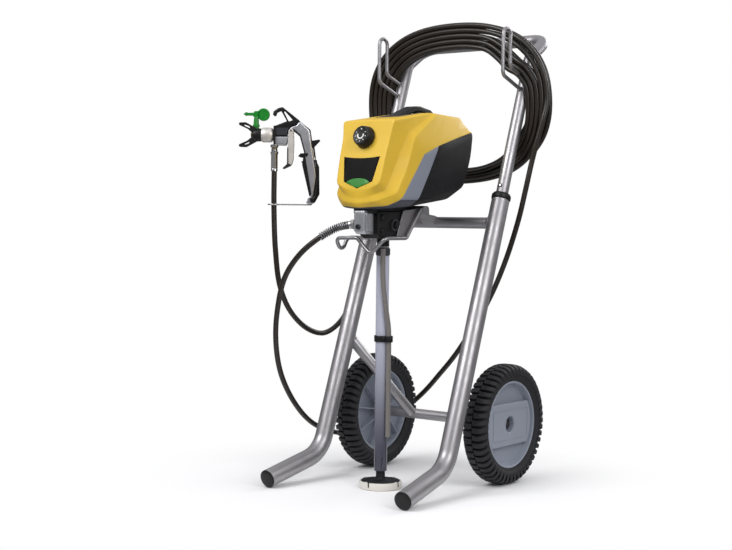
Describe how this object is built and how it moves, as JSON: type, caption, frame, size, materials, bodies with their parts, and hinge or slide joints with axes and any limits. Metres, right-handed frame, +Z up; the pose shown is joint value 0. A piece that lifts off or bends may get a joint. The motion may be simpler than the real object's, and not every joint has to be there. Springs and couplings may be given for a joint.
{
  "type": "airless paint sprayer",
  "caption": "Electric airless paint sprayer on a two-wheeled tube cart, with a suction tube, a coiled hose hung on the frame and a spray gun.",
  "frame": {"origin": "middle of the strainer's flat bottom face, which rests on the floor midway between the rails", "axes": "+X to the cart's own left as seen from behind, which is the right of the view from the front; -Y to the front, where the feet point; +Z up"},
  "size_m": [0.5437, 0.5534, 0.9911],
  "materials": {
    "silver_paint": "satin metallic silver paint",
    "yellow_plastic": "smooth moulded yellow, soft gloss",
    "grey_plastic": "moulded blue-grey",
    "charcoal_plastic": "moulded charcoal",
    "black_plastic": "moulded black",
    "tyre_rubber": "chunky black tread",
    "hose_rubber": "black hose cover with a soft sheen",
    "rim_plastic": "moulded cool grey",
    "bare_steel": "plated steel",
    "cast_aluminium": "cast and lightly polished",
    "brass": "motor windings and turned brass",
    "clear_tube": "milky translucent tube",
    "return_tube": "grey flexible tube",
    "strainer_plastic": "pale moulded strainer",
    "green_plastic": "moulded green"
  },
  "bodies": {
    "cart": {"left_rail": "silver_paint", "left_foot_cap": "black_plastic", "left_strut": "silver_paint", "left_collar": "black_plastic", "left_hose_hook": "silver_paint", "left_axle_clip": "bare_steel", "left_side_panel": "grey_plastic", "right_rail": "silver_paint", "right_foot_cap": "black_plastic", "right_strut": "silver_paint", "right_collar": "black_plastic", "right_hose_hook": "silver_paint", "right_axle_clip": "bare_steel", "right_side_panel": "grey_plastic", "crossbar": "silver_paint", "axle": "silver_paint", "handle_tube": "silver_paint", "mount_bracket": "silver_paint", "pail_hook": "silver_paint", "front_cover": "yellow_plastic", "rear_cover": "charcoal_plastic", "top_handle": "black_plastic", "cord_gland": "black_plastic", "motor_can": "bare_steel", "pump_block": "cast_aluminium", "pump_body": "black_plastic", "outlet_fitting": "bare_steel", "suction_nut": "grey_plastic", "spring_guard": "bare_steel", "suction_tube": "clear_tube", "return_tube": "return_tube", "tube_clip": "black_plastic", "strainer": "strainer_plastic", "hose_pump_run": "hose_rubber", "hose_coil": "hose_rubber", "hose_gun_run": "hose_rubber", "hose_ferrule": "bare_steel"},
    "left_wheel": {"left_tyre": "tyre_rubber", "left_rim": "rim_plastic"},
    "right_wheel": {"right_tyre": "tyre_rubber", "right_rim": "rim_plastic"},
    "knob": {"pressure_knob": "black_plastic"},
    "rotor": {"motor_rotor": "brass", "cooling_fan": "black_plastic"},
    "gear": {"drive_gear": "bare_steel"},
    "piston": {"piston": "bare_steel"},
    "pusher": {"inlet_pusher": "black_plastic"},
    "left_button": {"left_snap_button": "bare_steel"},
    "right_button": {"right_snap_button": "bare_steel"},
    "gun": {"gun_body": "cast_aluminium", "gun_cover": "black_plastic", "gun_grip": "black_plastic", "gun_swivel": "bare_steel", "nozzle_nut": "bare_steel", "trigger_pin": "bare_steel", "hose_guide": "bare_steel"},
    "trigger": {"trigger": "cast_aluminium"},
    "trigger_lock": {"trigger_lock": "black_plastic"},
    "tip_guard": {"tip_guard": "black_plastic"},
    "spray_tip": {"spray_tip": "green_plastic"}
  },
  "joints": [
    {"name": "left_wheel_spin", "type": "hinge", "parent": "cart", "child": "left_wheel", "pos_m": [-0.169, 0.209, 0.127], "axis": [1, 0, 0], "continuous": true},
    {"name": "right_wheel_spin", "type": "hinge", "parent": "cart", "child": "right_wheel", "pos_m": [0.169, 0.209, 0.127], "axis": [1, 0, 0], "continuous": true},
    {"name": "knob_turn", "type": "hinge", "parent": "cart", "child": "knob", "pos_m": [0, -0.0625, 0.721], "axis": [0, 0.9664, -0.2571], "range_deg": [0, 300]},
    {"name": "motor_spin", "type": "hinge", "parent": "cart", "child": "rotor", "pos_m": [0, 0.1, 0.693], "axis": [0, 1, 0], "continuous": true},
    {"name": "gear_spin", "type": "hinge", "parent": "cart", "child": "gear", "pos_m": [0, 0.025, 0.65], "axis": [0, 1, 0], "continuous": true},
    {"name": "piston_slide", "type": "slide", "parent": "cart", "child": "piston", "axis": [0, 0, -1], "range_m": [0, 0.012]},
    {"name": "pusher_press", "type": "slide", "parent": "cart", "child": "pusher", "axis": [-1, 0, 0], "range_m": [0, 0.0025], "stiffness_N_per_m": 600, "springref_m": -0.002},
    {"name": "left_button_press", "type": "slide", "parent": "cart", "child": "left_button", "axis": [0, 0.9419, -0.3358], "range_m": [0, 0.003], "stiffness_N_per_m": 800, "springref_m": -0.002},
    {"name": "right_button_press", "type": "slide", "parent": "cart", "child": "right_button", "axis": [0, 0.9419, -0.3358], "range_m": [0, 0.003], "stiffness_N_per_m": 800, "springref_m": -0.002},
    {"name": "gun_swivel_turn", "type": "hinge", "parent": "cart", "child": "gun", "pos_m": [-0.2355, -0.073, 0.706], "axis": [0, 0, 1], "continuous": true},
    {"name": "trigger_pull", "type": "hinge", "parent": "gun", "child": "trigger", "pos_m": [-0.20734, -0.05139, 0.741], "axis": [0.6088, -0.7934, 0], "range_deg": [0, 17], "stiffness_Nm_per_rad": 1.2, "springref_deg": -14.32},
    {"name": "trigger_lock_turn", "type": "hinge", "parent": "gun", "child": "trigger_lock", "pos_m": [-0.18949, -0.03769, 0.69], "axis": [0.6088, -0.7934, 0], "range_deg": [0, 85]},
    {"name": "tip_guard_turn", "type": "hinge", "parent": "gun", "child": "tip_guard", "pos_m": [-0.26723, -0.09735, 0.732], "axis": [0.7934, 0.6088, 0], "range_deg": [-90, 90]},
    {"name": "spray_tip_turn", "type": "hinge", "parent": "tip_guard", "child": "spray_tip", "pos_m": [-0.26628, -0.09662, 0.732], "axis": [0, 0, 1], "range_deg": [0, 180]}
  ],
  "couplings": [
    {"joint": "motor_spin", "follows": "gear_spin", "ratio": -4.6667}
  ]
}
